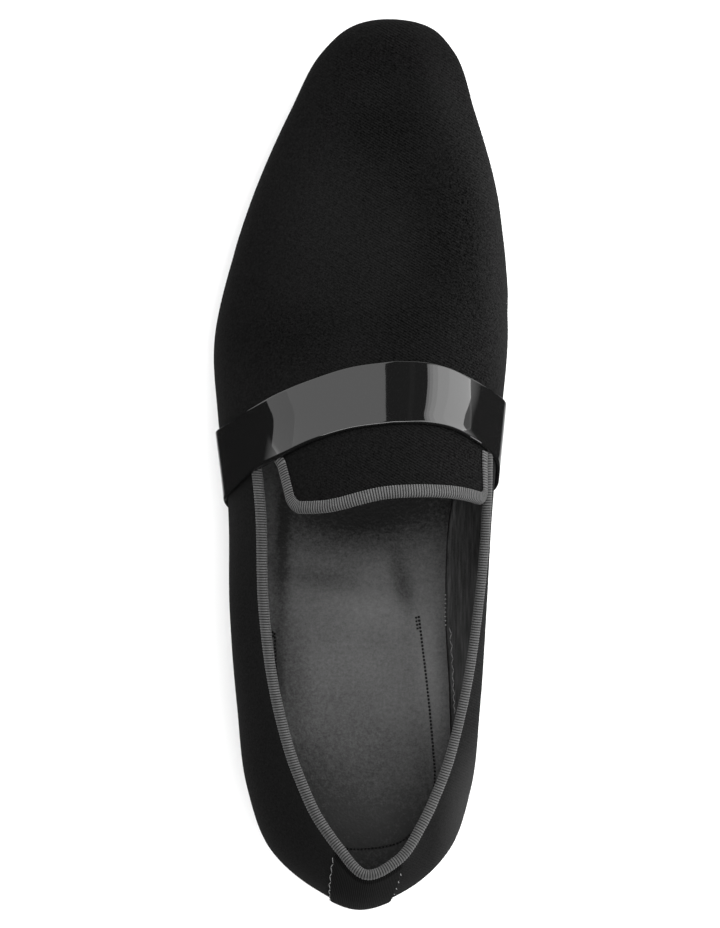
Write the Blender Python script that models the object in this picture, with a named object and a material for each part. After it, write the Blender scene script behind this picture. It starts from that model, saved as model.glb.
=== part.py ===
"""Velvet loafer, left shoe, about EU 43.

Metres. +X is the inner side of the foot, +Y the toe, +Z up, with the floor at z = 0 and the origin under the middle of
the shoe. Stations run from the back of the heel (0) to the tip of the toe (1), as shares of LENGTH.
"""

import math

import bmesh
import bpy
import numpy as np

for old in list(bpy.data.objects):
    bpy.data.objects.remove(old, do_unlink=True)

# Driving sizes
LENGTH = 0.300
BALL_WIDTH = 0.100
INSTEP_HEIGHT = 0.060
HEEL_LIFT = 0.0205
TOE_SPRING = 0.010

# Thicknesses
UPPER_WALL = 0.0016
OUTSOLE_THICKNESS = 0.0045
INSOLE_THICKNESS = 0.003
TOP_LIFT_THICKNESS = 0.006
STRAP_THICKNESS = 0.0011
BACK_STRIP_THICKNESS = 0.0007
TAPE_THICKNESS = 0.0005

# Clearances
SEAT_GAP = 0.0003
STRAP_GAP = 0.0003
BACK_STRIP_GAP = 0.0003
TAPE_GAP = 0.0003
INSOLE_SIDE_GAP = 0.0004
TAPE_END_GAP = 0.0021

# Sizes that are set by themselves
COLLAR_LEAF = 0.0025
TONGUE_LEAF = 0.0032
SOLE_EDGE = 0.0009
HEEL_TAPER = 0.0016
HEEL_LENGTH = 0.082
HEEL_BREAST_HOLLOW = 0.003
BACK_STRIP_HALF_WIDTH = 0.0136

# Where the binding of the tongue comes out from under the strap, as shares of the tongue's length
TONGUE_TAPE_OUTER_SHARE = 0.50
TONGUE_TAPE_INNER_SHARE = 0.44

# The underside of the sole: station, lift of the heel part (share of HEEL_LIFT), lift of the toe (share of TOE_SPRING)
SOLE_LIFT = np.array(
    [
        (0.00, 1.000, 0.00),
        (0.10, 1.000, 0.00),
        (0.20, 0.985, 0.00),
        (0.27, 0.930, 0.00),
        (0.35, 0.750, 0.00),
        (0.45, 0.420, 0.00),
        (0.55, 0.130, 0.00),
        (0.62, 0.012, 0.00),
        (0.64, 0.000, 0.00),
        (0.73, 0.000, 0.00),
        (0.80, 0.000, 0.12),
        (0.90, 0.000, 0.45),
        (1.00, 0.000, 1.00),
    ]
)

# Each rib of the last runs from the seam with the sole, over the widest line, to the crest of the instep. One row per
# rib, from the back of the heel to the tip of the toe.
# Crest: station, x (share of half the ball width), height over the sole (share of INSTEP_HEIGHT), slope along the foot
CREST = np.array(
    [
        (0.1500, 0.140, 1.250, 0.00),
        (0.1500, 0.110, 1.250, 0.00),
        (0.1550, 0.080, 1.250, 0.00),
        (0.1800, 0.060, 1.250, 0.00),
        (0.2400, 0.084, 1.250, 0.00),
        (0.3333, 0.140, 1.250, 0.00),
        (0.4500, 0.200, 1.250, -0.35),
        (0.5500, 0.226, 1.117, -0.50),
        (0.6333, 0.240, 0.950, -0.50),
        (0.7100, 0.240, 0.775, -0.36),
        (0.7867, 0.230, 0.642, -0.26),
        (0.8417, 0.216, 0.560, -0.21),
        (0.8733, 0.204, 0.508, -0.20),
        (0.8867, 0.200, 0.4875, -0.20),
        (0.8917, 0.198, 0.480, -0.20),
    ]
)

# The two sides of the same ribs. Columns: station and x of the widest line, inset of the sole seam from it, height of
# the widest line, inset and height of the shoulder (the top line, in the quarters), and lean of the wall there in
# degrees. Stations are shares of LENGTH, x and insets of half the ball width, heights of INSTEP_HEIGHT over the sole.
OUTER_SIDE = np.array(
    [
        (0.0000, -0.000, 0.060, 0.330, 0.262, 0.975, 24),
        (0.0200, -0.300, 0.054, 0.330, 0.350, 0.970, 27),
        (0.0650, -0.604, 0.066, 0.342, 0.408, 0.957, 30),
        (0.1333, -0.758, 0.090, 0.350, 0.368, 0.917, 30),
        (0.2233, -0.826, 0.110, 0.358, 0.280, 0.845, 28),
        (0.3333, -0.878, 0.130, 0.367, 0.236, 0.797, 27),
        (0.4500, -0.892, 0.110, 0.383, 0.228, 0.880, 33),
        (0.5500, -0.962, 0.060, 0.375, 0.230, 0.808, 40),
        (0.6333, -0.990, 0.036, 0.325, 0.195, 0.660, 45),
        (0.7167, -0.888, 0.030, 0.283, 0.130, 0.512, 45),
        (0.8067, -0.712, 0.028, 0.250, 0.098, 0.425, 45),
        (0.8967, -0.472, 0.026, 0.217, 0.074, 0.347, 45),
        (0.9633, -0.254, 0.024, 0.183, 0.056, 0.276, 45),
        (0.9883, -0.092, 0.022, 0.167, 0.046, 0.244, 45),
        (1.0000, 0.196, 0.022, 0.158, 0.044, 0.233, 45),
    ]
)
INNER_SIDE = np.array(
    [
        (0.0000, 0.000, 0.060, 0.330, 0.262, 0.975, 24),
        (0.0200, 0.322, 0.054, 0.333, 0.246, 0.970, 23),
        (0.0650, 0.604, 0.070, 0.350, 0.274, 0.955, 22),
        (0.1333, 0.746, 0.110, 0.367, 0.212, 0.925, 17),
        (0.2233, 0.806, 0.160, 0.417, 0.118, 0.858, 11),
        (0.3333, 0.850, 0.230, 0.483, 0.052, 0.808, 7),
        (0.4500, 0.892, 0.230, 0.533, 0.036, 0.833, 14),
        (0.5500, 0.954, 0.120, 0.458, 0.100, 0.833, 28),
        (0.6333, 1.002, 0.056, 0.367, 0.165, 0.725, 40),
        (0.7167, 0.994, 0.036, 0.317, 0.146, 0.588, 45),
        (0.8067, 0.928, 0.030, 0.267, 0.112, 0.470, 45),
        (0.8967, 0.778, 0.026, 0.225, 0.078, 0.365, 45),
        (0.9633, 0.638, 0.024, 0.183, 0.056, 0.276, 45),
        (0.9883, 0.500, 0.022, 0.167, 0.046, 0.244, 45),
        (1.0000, 0.196, 0.022, 0.158, 0.044, 0.233, 45),
    ]
)

# Front and back edge of the strap, up the rib. Columns: place on the rib (0 sole seam, 1 widest line, 2 shoulder,
# 3 crest), then the stations of the back and front edge on the outer side, then on the inner side.
STRAP_EDGES = np.array(
    [
        (0.00, 0.4367, 0.5200, 0.4467, 0.5400),
        (0.50, 0.4450, 0.5267, 0.4600, 0.5500),
        (1.00, 0.4545, 0.5335, 0.4740, 0.5640),
        (1.50, 0.4665, 0.5400, 0.4940, 0.5700),
        (2.00, 0.4890, 0.5565, 0.5085, 0.5800),
        (2.25, 0.5030, 0.5740, 0.5210, 0.5915),
        (2.50, 0.5205, 0.5895, 0.5340, 0.6025),
        (2.75, 0.5335, 0.6030, 0.5395, 0.6085),
        (3.00, 0.5397, 0.6095, 0.5397, 0.6095),
    ]
)

# The tongue leaves the vamp under the strap at JOIN_SHARE and runs back to its end. Columns: share of the way back,
# then the step from the shoulder of the rib to the tongue's edge, on the outer and on the inner side.
JOIN_SHARE = 0.543
TONGUE_EDGES = np.array(
    [
        (0.00, 0.000, 0.000),
        (0.20, 0.090, 0.030),
        (0.50, 0.210, 0.062),
        (1.00, 0.290, 0.066),
    ]
)
# End of the tongue. Columns: place across it (-1 outer edge, 0 crest, 1 inner edge), station.
TONGUE_END = np.array(
    [
        (-1.0, 0.4440),
        (-0.6, 0.4460),
        (0.0, 0.4620),
        (0.5, 0.4620),
        (1.0, 0.4520),
    ]
)

# The rounded corners of the tongue, as shares of its length and of its half width
TONGUE_CORNER_LONG_SHARE = 0.16
TONGUE_CORNER_WIDE_SHARE = 0.12

# The back strip, from the sole seam up. Columns: place on the rib, half width as a share of BACK_STRIP_HALF_WIDTH.
BACK_STRIP_WIDTHS = np.array(
    [
        (0.06, 0.690),
        (1.00, 0.735),
        (1.91, 1.000),
    ]
)

# How finely the pieces are faceted
RIBS_VAMP = 19
RIBS_QUARTER = 23
ROWS_TONGUE = 6
STEPS_LOW = 3
STEPS_SIDE = 4
STEPS_TOP = 7


def slopes(place, value):
    """Slope of a smooth curve at each of its rows: the mean of the slopes on both sides, each weighted by the other's
    length."""
    gap = np.diff(place)
    rise = np.diff(value, axis=0) / gap[:, None]
    inner = (rise[:-1] * gap[1:, None] + rise[1:] * gap[:-1, None]) / (gap[:-1] + gap[1:])[:, None]
    return np.vstack([rise[:1], inner, rise[-1:]])


def smooth(place, value, at):
    """Reads a table between its rows: a cubic with the values and slopes of the two rows around each place."""
    place = np.asarray(place, float)
    value = np.asarray(value, float).reshape(len(place), -1)
    slope = slopes(place, value)
    at = np.clip(np.asarray(at, float), place[0], place[-1])
    k = np.clip(np.searchsorted(place, at, side="right") - 1, 0, len(place) - 2)
    h = (place[k + 1] - place[k])[..., None]
    w = (at - place[k])[..., None] / h
    result = (
        value[k] * (2 * w**3 - 3 * w**2 + 1)
        + value[k + 1] * (3 * w**2 - 2 * w**3)
        + slope[k] * h * (w**3 - 2 * w**2 + w)
        + slope[k + 1] * h * (w**3 - w**2)
    )
    return result


def sole_bottom(y):
    """Height of the underside of the sole at each y."""
    station = np.clip(np.asarray(y, float) / LENGTH + 0.5, 0, 1)
    lift = smooth(SOLE_LIFT[:, 0], SOLE_LIFT[:, 1:], station)
    flat = (station >= 0.64) & (station <= 0.73)
    height = lift[..., 0] * HEEL_LIFT + lift[..., 1] * TOE_SPRING
    return np.where(flat, 0.0, np.maximum(height, 0.0))


def sole_top(y):
    """Height of the upper side of the sole at each y."""
    return sole_bottom(y) + OUTSOLE_THICKNESS


def last_rows():
    """The rib tables in metres, as one loop: heel, outer side, toe, inner side, heel. The place of a row in the loop is
    0 at the heel, 1 at the toe and 2 at the heel again."""
    sides = []
    for side in (OUTER_SIDE, INNER_SIDE):
        rows = np.empty((len(side), 11))
        rows[:, 0] = side[:, 1] * BALL_WIDTH / 2
        rows[:, 1] = (side[:, 0] - 0.5) * LENGTH
        rows[:, 2] = side[:, 2] * BALL_WIDTH / 2
        rows[:, 3] = side[:, 3] * INSTEP_HEIGHT
        rows[:, 4] = side[:, 4] * BALL_WIDTH / 2
        rows[:, 5] = side[:, 5] * INSTEP_HEIGHT
        rows[:, 6] = np.radians(side[:, 6])
        rows[:, 7] = CREST[:, 1] * BALL_WIDTH / 2
        rows[:, 8] = (CREST[:, 0] - 0.5) * LENGTH
        rows[:, 9] = CREST[:, 2] * INSTEP_HEIGHT
        rows[:, 10] = CREST[:, 3]
        sides.append(rows)
    outer, inner = sides
    steps = [np.hypot(np.diff(rows[:, 0]), np.diff(rows[:, 1])) for rows in sides]
    place = np.concatenate([[0.0], np.cumsum(steps[0] + steps[1])])
    place = place / place[-1]
    # The loop is carried on a little past the heel at both ends, so that it is smooth there too.
    extra = 3
    rows = np.vstack([inner[extra:0:-1], outer, inner[-2::-1], outer[1 : extra + 1]])
    places = np.concatenate([-place[extra:0:-1], place, 2 - place[-2::-1], 2 + place[1 : extra + 1]])
    return places, rows


LOOP_PLACES, LOOP_ROWS = last_rows()


def bezier(a, a_way, b, b_way, w):
    """A curve from a to b that leaves along a_way and arrives along b_way."""
    handle = 0.37 * np.linalg.norm(b - a, axis=-1, keepdims=True)
    first = a + a_way * handle
    second = b - b_way * handle
    w = w[..., None]
    return a * (1 - w) ** 3 + 3 * first * w * (1 - w) ** 2 + 3 * second * w**2 * (1 - w) + b * w**3


def form(loop, up):
    """Points of the outside of the upper. loop is the place round the shoe (0 heel, 0 to 1 outer side, 1 toe, 1 to 2
    inner side), up the place on the rib (0 sole seam, 1 widest line, 2 shoulder, 3 crest)."""
    loop, up = np.broadcast_arrays(np.asarray(loop, float), np.asarray(up, float))
    row = smooth(LOOP_PLACES, LOOP_ROWS, np.mod(loop, 2))
    wide = row[..., 0:2]
    crest = row[..., 7:9]
    reach = np.linalg.norm(crest - wide, axis=-1, keepdims=True)
    way = (crest - wide) / reach
    # Along the rib: inset from the widest line, and height.
    seam = np.stack([row[..., 2], sole_top(wide[..., 1] + row[..., 2] * way[..., 1]) + SEAT_GAP], -1)
    belly = np.stack([0 * row[..., 2], sole_top(wide[..., 1]) + row[..., 3]], -1)
    shoulder = np.stack([row[..., 4], sole_top(wide[..., 1]) + row[..., 5]], -1)
    ridge = np.stack([reach[..., 0], sole_top(crest[..., 1]) + row[..., 9]], -1)
    out = np.stack([-2 * row[..., 2], belly[..., 1] - seam[..., 1]], -1)
    out = out / np.linalg.norm(out, axis=-1, keepdims=True)
    rise = np.stack([0 * reach[..., 0], 1 + 0 * reach[..., 0]], -1)
    lean = np.stack([np.sin(row[..., 6]), np.cos(row[..., 6])], -1)
    level = np.stack([1 + 0 * reach[..., 0], row[..., 10] * way[..., 1]], -1)
    level = level / np.linalg.norm(level, axis=-1, keepdims=True)
    low = bezier(seam, out, belly, rise, np.clip(up, 0, 1))
    side = bezier(belly, rise, shoulder, lean, np.clip(up - 1, 0, 1))
    top = bezier(shoulder, lean, ridge, level, np.clip(up - 2, 0, 1))
    rib = np.where((up < 1)[..., None], low, np.where((up < 2)[..., None], side, top))
    plan = wide + rib[..., :1] * way
    return np.concatenate([plan, rib[..., 1:]], -1)


def outward(loop, up):
    """Unit normals of the form, pointing out of the shoe."""
    loop, up = np.broadcast_arrays(np.asarray(loop, float), np.asarray(up, float))
    along = form(loop + 1e-4, up) - form(loop - 1e-4, up)
    high = np.minimum(up + 1e-3, 3)
    low = np.maximum(up - 1e-3, 0)
    rise = form(loop, high) - form(loop, low)
    normal = np.cross(rise, along)
    return normal / np.linalg.norm(normal, axis=-1, keepdims=True)


def on_side(side, place):
    """Place in the loop of a rib of one side: side -1 is the outer side, 1 the inner side."""
    return place if side < 0 else 2 - place


def rib_at(station):
    """Place of the rib whose widest line is at this station on the outer side. In the waist the ribs run straight
    across, so it is the same on both sides."""
    fine = np.linspace(0, 1, 4001)
    stations = smooth(LOOP_PLACES, LOOP_ROWS, fine)[:, 1] / LENGTH + 0.5
    return np.interp(station, stations, fine)


def add_object(name, mesh, material):
    made = bpy.data.meshes.new(name)
    mesh.to_mesh(made)
    mesh.free()
    made.materials.append(material)
    thing = bpy.data.objects.new(name, made)
    bpy.context.scene.collection.objects.link(thing)
    return thing


def plain_material(name, colour, roughness, coat=0.0, sheen=0.0):
    made = bpy.data.materials.new(name)
    made.use_nodes = True
    made.diffuse_color = (*colour, 1)
    shader = made.node_tree.nodes["Principled BSDF"]
    shader.inputs["Base Color"].default_value = (*colour, 1)
    shader.inputs["Roughness"].default_value = roughness
    shader.inputs["Coat Weight"].default_value = coat
    shader.inputs["Sheen Weight"].default_value = sheen
    return made


def grid_faces(mesh, points):
    """Adds a grid of points and the quads between them, and returns the grid of vertices."""
    grid = [[mesh.verts.new(tuple(point)) for point in line] for line in points]
    for line, following in zip(grid[:-1], grid[1:]):
        for a, b, c, d in zip(line[:-1], line[1:], following[1:], following[:-1]):
            mesh.faces.new((a, b, c, d))
    return grid


def weld(mesh, distance=2e-6):
    """Joins the points that coincide, drops what that flattened, and turns every face outward."""
    bmesh.ops.remove_doubles(mesh, verts=mesh.verts, dist=distance)
    bmesh.ops.dissolve_degenerate(mesh, edges=mesh.edges, dist=1e-7)
    bmesh.ops.recalc_face_normals(mesh, faces=mesh.faces)


def slab(name, first, second, material):
    """A closed body between two grids of points of the same shape."""
    mesh = bmesh.new()
    grids = [grid_faces(mesh, first), grid_faces(mesh, second)]
    rims = []
    for grid in grids:
        top = grid[0]
        right = [line[-1] for line in grid[1:]]
        bottom = grid[-1][-2::-1]
        left = [line[0] for line in grid[-2:0:-1]]
        rims.append(top + right + bottom + left)
    count = len(rims[0])
    for k in range(count):
        n = (k + 1) % count
        mesh.faces.new((rims[0][k], rims[0][n], rims[1][n], rims[1][k]))
    weld(mesh)
    return add_object(name, mesh, material)


def tube(name, sections, material):
    """A closed body swept through sections, each a closed ring of points, with flat ends."""
    mesh = bmesh.new()
    rings = [[mesh.verts.new(tuple(point)) for point in ring] for ring in sections]
    count = len(rings[0])
    for ring, following in zip(rings[:-1], rings[1:]):
        for k in range(count):
            n = (k + 1) % count
            mesh.faces.new((ring[k], ring[n], following[n], following[k]))
    mesh.faces.new(rings[0])
    mesh.faces.new(rings[-1])
    weld(mesh)
    return add_object(name, mesh, material)


# Places on the rib where the upper is faceted
LOW = np.linspace(0, 1, STEPS_LOW + 1)
SIDE = np.linspace(1, 2, STEPS_SIDE + 1)[1:]
TOP = np.concatenate([[2 + TONGUE_CORNER_WIDE_SHARE], np.linspace(2, 3, STEPS_TOP + 1)[2 :]])
JOIN = rib_at(JOIN_SHARE)
TONGUE_ROWS = np.linspace(0, 1 - TONGUE_CORNER_LONG_SHARE, ROWS_TONGUE)


def quarter_ribs():
    """Places of the ribs of a quarter, closer together round the heel."""
    return JOIN * np.linspace(0, 1, RIBS_QUARTER + 1) ** 1.3


def tongue_point(side, back, across):
    """Loop and rib place of a point of the tongue. back is 0 at the vamp and 1 at the end of the tongue, across is 0 at
    the edge of this side and 1 at the crest."""
    edge = np.interp(back, TONGUE_EDGES[:, 0], TONGUE_EDGES[:, 1 if side < 0 else 2])
    up = 2 + edge + across * (1 - edge)
    end = smooth(TONGUE_END[:, 0], TONGUE_END[:, 1], side * (1 - across))[..., 0]
    place = JOIN + back * (rib_at(end) - JOIN)
    return on_side(side, place), up


def make_upper(material):
    """One hollow shell: the vamp, the quarters up to the top line, and the tongue, as one welded surface with the wall
    inside it. It is open at the top, and underneath, where the sole closes it."""
    mesh = bmesh.new()
    for side in (-1, 1):
        vamp = np.linspace(JOIN, 1, RIBS_VAMP + 1)
        quarter = quarter_ribs()
        whole = np.concatenate([LOW, SIDE, TOP])
        grid_faces(mesh, form(on_side(side, vamp)[:, None], whole[None, :]))
        wall = np.concatenate([LOW, SIDE])
        grid_faces(mesh, form(on_side(side, quarter)[:, None], wall[None, :]))
        back, across = np.meshgrid(np.append(TONGUE_ROWS, 1), np.append(0, TOP - 2), indexing="ij")
        # The corner point is drawn in, onto the round corner.
        back[-1, 0] = 1 - TONGUE_CORNER_LONG_SHARE * (1 - math.cos(math.pi / 4))
        across[-1, 0] = TONGUE_CORNER_WIDE_SHARE * (1 - math.cos(math.pi / 4))
        grid_faces(mesh, form(*tongue_point(side, back, across)))
    weld(mesh)
    thing = add_object("upper", mesh, material)
    wall = thing.modifiers.new("Wall", "SOLIDIFY")
    wall.thickness = UPPER_WALL
    wall.offset = -1
    wall.use_even_offset = False
    wall.use_rim = True
    return thing


def plate(places, inset, across):
    """x and y of a grid across the shoe, inset metres inside the widest line: one row per rib, one column per share of
    the way from the outer to the inner side."""
    ends = []
    for side in (-1, 1):
        row = smooth(LOOP_PLACES, LOOP_ROWS, on_side(side, places))
        wide = row[:, 0:2]
        way = row[:, 7:9] - wide
        way = way / np.linalg.norm(way, axis=-1, keepdims=True)
        ends.append(wide + way * (row[:, 2:3] + inset))
    outer, inner = ends
    across = across[None, :, None]
    return outer[:, None] * (1 - across) + inner[:, None] * across


def round_ends(count):
    """Places from heel to toe, closer together at both ends, where the outline turns."""
    k = np.linspace(0, 1, count + 1)
    return k - 0.7 * np.sin(2 * np.pi * k) / (2 * np.pi)


def make_sole_parts(leather, insole_leather, stack, rubber):
    across = np.linspace(0, 1, 7)
    places = round_ends(46)
    plan = plate(places, -SOLE_EDGE, across)
    top = np.dstack([plan, sole_top(plan[..., 1])])
    bottom = np.dstack([plan, sole_bottom(plan[..., 1])])
    slab("outsole", bottom, top, leather)

    plan = plate(places, UPPER_WALL + INSOLE_SIDE_GAP, across)
    low = sole_top(plan[..., 1]) + SEAT_GAP
    slab("insole", np.dstack([plan, low]), np.dstack([plan, low + INSOLE_THICKNESS]), insole_leather)

    # The heel follows the outline of the sole, with a hollow breast in front, and narrows a little downward.
    end = rib_at(HEEL_LENGTH / LENGTH)
    k = np.linspace(0, 1, 15)
    places = end * (k - 0.3 * np.sin(np.pi * k) / np.pi)
    across = np.linspace(0, 1, 9)
    hollow = HEEL_BREAST_HOLLOW * (1 - (2 * across - 1) ** 2)[None, :] * (k**3)[:, None]
    levels = {}
    for name, inset in (("top", -SOLE_EDGE), ("bottom", -SOLE_EDGE + HEEL_TAPER)):
        plan = plate(places, inset, across)
        plan[..., 1] -= hollow
        levels[name] = plan
    joint = TOP_LIFT_THICKNESS
    share = joint / HEEL_LIFT
    middle = levels["bottom"] * (1 - share) + levels["top"] * share
    high = sole_bottom(levels["top"][..., 1]) - SEAT_GAP
    flat = np.zeros(middle.shape[:2])
    slab("heel_block", np.dstack([middle, flat + joint]), np.dstack([levels["top"], high]), stack)
    slab("top_lift", np.dstack([levels["bottom"], flat]), np.dstack([middle, flat + joint - SEAT_GAP]), rubber)


def strap_point(side, up, share):
    """Loop place of a point of the strap: share is 0 at its back edge and 1 at its front edge."""
    column = 1 if side < 0 else 3
    edges = smooth(STRAP_EDGES[:, 0], STRAP_EDGES[:, column : column + 2], up)
    station = edges[..., 0] * (1 - share) + edges[..., 1] * share
    return on_side(side, rib_at(station))


def make_strap(material):
    """The band lies on the upper from sole seam to sole seam: both of its faces are the form of the upper, moved out."""
    up = np.concatenate([np.linspace(0.05, 1, 5), SIDE, np.linspace(2, 3, 8)[1:]])
    share = np.linspace(0, 1, 6)
    inner, outer = [], []
    for side in (-1, 1):
        climb = up if side < 0 else up[-2::-1]
        loop = strap_point(side, climb[:, None], share[None, :])
        points = form(loop, climb[:, None])
        away = outward(loop, climb[:, None])
        inner.append(points + away * STRAP_GAP)
        outer.append(points + away * (STRAP_GAP + STRAP_THICKNESS))
    slab("strap", np.vstack(inner), np.vstack(outer), material)


def make_back_strip(material):
    """The strip over the back seam, from the sole seam to just under the binding."""
    foot, widest, top = BACK_STRIP_WIDTHS[:, 0]
    up = np.concatenate([np.linspace(foot, widest, 4), np.linspace(widest, top, 6)[1:]])
    fine = np.linspace(-0.1, 0.1, 401)
    points, away = [], []
    for height in up:
        line = form(fine, height)
        length = np.concatenate([[0], np.cumsum(np.linalg.norm(np.diff(line, axis=0), axis=1))])
        length -= np.interp(0.0, fine, length)
        half = smooth(BACK_STRIP_WIDTHS[:, 0], BACK_STRIP_WIDTHS[:, 1], height)[0] * BACK_STRIP_HALF_WIDTH
        loop = np.interp(np.linspace(-1, 1, 9) * half, length, fine)
        points.append(form(loop, height))
        away.append(outward(loop, height))
    points, away = np.array(points), np.array(away)
    far = BACK_STRIP_GAP + BACK_STRIP_THICKNESS
    slab("back_strip", points + away * BACK_STRIP_GAP, points + away * far, material)


def tape(name, edge, rim_way, away, leaf, material):
    """A tape folded over an edge of the upper: a channel with one leaf outside, one inside and a fold over the rim.
    edge holds points of the outer edge, rim_way the way out of the leather in its own surface, away its normal."""
    out = TAPE_GAP + TAPE_THICKNESS
    far = UPPER_WALL + out
    near = UPPER_WALL + TAPE_GAP
    bend = TAPE_THICKNESS * 0.5
    ring = np.array(
        [
            (-leaf, TAPE_GAP),
            (-leaf, out),
            (out - bend, out),
            (out, out - bend),
            (out, bend - far),
            (out - bend, -far),
            (-leaf, -far),
            (-leaf, -near),
            (TAPE_GAP, -near),
            (TAPE_GAP, TAPE_GAP),
        ]
    )
    sections = edge[:, None] + ring[None, :, :1] * rim_way[:, None] + ring[None, :, 1:] * away[:, None]
    tube(name, sections, material)


def make_collar_binding(material):
    """Round the top line of the quarters, from the strap on the outer side to the strap on the inner side."""
    outer_end = rib_at(STRAP_EDGES[4, 1] - TAPE_END_GAP / LENGTH)
    inner_end = rib_at(STRAP_EDGES[4, 3] - TAPE_END_GAP / LENGTH)
    ribs = quarter_ribs()
    outer = np.append(ribs[ribs < outer_end - 0.004], outer_end)
    inner = np.append(ribs[(ribs > 0) & (ribs < inner_end - 0.004)], inner_end)
    loop = np.concatenate([outer[::-1], -inner])
    edge = form(loop, 2.0)
    below = form(loop, 1.98)
    away = outward(loop, 1.995)
    rim_way = edge - below
    rim_way /= np.linalg.norm(rim_way, axis=-1, keepdims=True)
    tape("collar_binding", edge, rim_way, away, COLLAR_LEAF, material)


def make_tongue_binding(material):
    """Down the outer edge of the tongue, across its end and up its inner edge, from strap to strap."""
    long, wide = TONGUE_CORNER_LONG_SHARE, TONGUE_CORNER_WIDE_SHARE
    turn = np.linspace(0, math.pi / 2, 7)[1:-1]
    across = TOP - 2
    halves = []
    for side, start in ((-1, TONGUE_TAPE_OUTER_SHARE), (1, TONGUE_TAPE_INNER_SHARE)):
        back = np.append(start, TONGUE_ROWS[TONGUE_ROWS > start + 0.03])
        # From the strap down the edge, round the corner and along the end to the crest.
        backs = np.concatenate([back, 1 - long + long * np.sin(turn), 0 * across + 1])
        places = np.concatenate([0 * back, wide * (1 - np.cos(turn)), across])
        halves.append(tongue_point(side, backs, places))
    outer = halves[0]
    inner = [places[-2::-1] for places in halves[1]]
    loop = np.concatenate([outer[0], inner[0]])
    up = np.concatenate([outer[1], inner[1]])
    edge = form(loop, up)
    away = outward(loop, up)
    run = np.gradient(edge, axis=0)
    rim_way = np.cross(run, away)
    rim_way /= np.linalg.norm(rim_way, axis=-1, keepdims=True)
    tape("tongue_binding", edge, rim_way, away, TONGUE_LEAF, material)


velvet = plain_material("black_velvet", (0.012, 0.012, 0.013), 0.95, sheen=0.6)
strip_velvet = plain_material("strip_velvet", (0.013, 0.013, 0.014), 0.95, sheen=0.6)
patent = plain_material("black_patent_leather", (0.008, 0.008, 0.009), 0.12, coat=1.0)
grosgrain = plain_material("grey_grosgrain", (0.11, 0.11, 0.115), 0.7)
tongue_grosgrain = plain_material("tongue_grosgrain", (0.11, 0.11, 0.115), 0.7)
sole_leather = plain_material("sole_leather", (0.02, 0.019, 0.018), 0.5)
sock_leather = plain_material("sock_leather", (0.045, 0.045, 0.047), 0.55)
heel_leather = plain_material("heel_leather", (0.016, 0.015, 0.015), 0.45)
heel_rubber = plain_material("heel_rubber", (0.02, 0.02, 0.02), 0.8)

make_upper(velvet)
make_sole_parts(sole_leather, sock_leather, heel_leather, heel_rubber)
make_strap(patent)
make_collar_binding(grosgrain)
make_tongue_binding(tongue_grosgrain)
make_back_strip(strip_velvet)
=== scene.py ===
"""Velvet loafer, left shoe, dressed. Metres, +X the inner side of the foot, +Y the toe, +Z up, floor at z = 0."""

import math

import bmesh
import bpy
import numpy as np
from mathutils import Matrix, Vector


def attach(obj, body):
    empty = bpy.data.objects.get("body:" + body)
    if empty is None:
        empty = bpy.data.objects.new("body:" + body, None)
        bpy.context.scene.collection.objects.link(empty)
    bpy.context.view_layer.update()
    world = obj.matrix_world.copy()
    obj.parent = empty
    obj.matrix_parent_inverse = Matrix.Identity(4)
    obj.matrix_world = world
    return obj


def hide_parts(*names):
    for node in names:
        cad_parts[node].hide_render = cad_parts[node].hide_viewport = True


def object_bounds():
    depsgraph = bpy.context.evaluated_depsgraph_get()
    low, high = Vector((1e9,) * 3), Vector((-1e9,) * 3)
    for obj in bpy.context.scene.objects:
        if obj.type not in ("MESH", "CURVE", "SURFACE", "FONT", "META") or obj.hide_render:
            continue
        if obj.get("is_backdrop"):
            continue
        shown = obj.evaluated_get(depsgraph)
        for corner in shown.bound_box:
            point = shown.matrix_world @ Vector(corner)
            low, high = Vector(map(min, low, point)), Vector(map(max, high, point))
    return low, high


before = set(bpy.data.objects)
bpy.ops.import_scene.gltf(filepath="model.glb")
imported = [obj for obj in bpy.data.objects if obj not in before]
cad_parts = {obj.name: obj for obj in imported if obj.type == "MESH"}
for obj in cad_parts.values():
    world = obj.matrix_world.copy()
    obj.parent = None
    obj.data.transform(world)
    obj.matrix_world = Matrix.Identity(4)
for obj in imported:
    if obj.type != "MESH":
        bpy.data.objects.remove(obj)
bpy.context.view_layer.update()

# The last
# The shaped block that a shoe is made on. Every piece takes its shape from it: one rib from the seam with the sole,
# over the widest line and the shoulder, up to the crest of the instep, at each place round the shoe.
LENGTH = 0.300
BALL_WIDTH = 0.100
INSTEP_HEIGHT = 0.060
HEEL_LIFT = 0.0205
TOE_SPRING = 0.010
OUTSOLE_THICKNESS = 0.0045
SEAT_GAP = 0.0003

# Stations between which the sole lies flat on the floor
BALL_FLAT = (0.64, 0.73)
# Underside of the sole: station, share of HEEL_LIFT, share of TOE_SPRING
SOLE_LIFT = np.array([
    (0.00, 1.000, 0.00),
    (0.10, 1.000, 0.00),
    (0.20, 0.985, 0.00),
    (0.27, 0.930, 0.00),
    (0.35, 0.750, 0.00),
    (0.45, 0.420, 0.00),
    (0.55, 0.130, 0.00),
    (0.62, 0.012, 0.00),
    (0.64, 0.000, 0.00),
    (0.73, 0.000, 0.00),
    (0.80, 0.000, 0.12),
    (0.90, 0.000, 0.45),
    (1.00, 0.000, 1.00),
])
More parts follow.
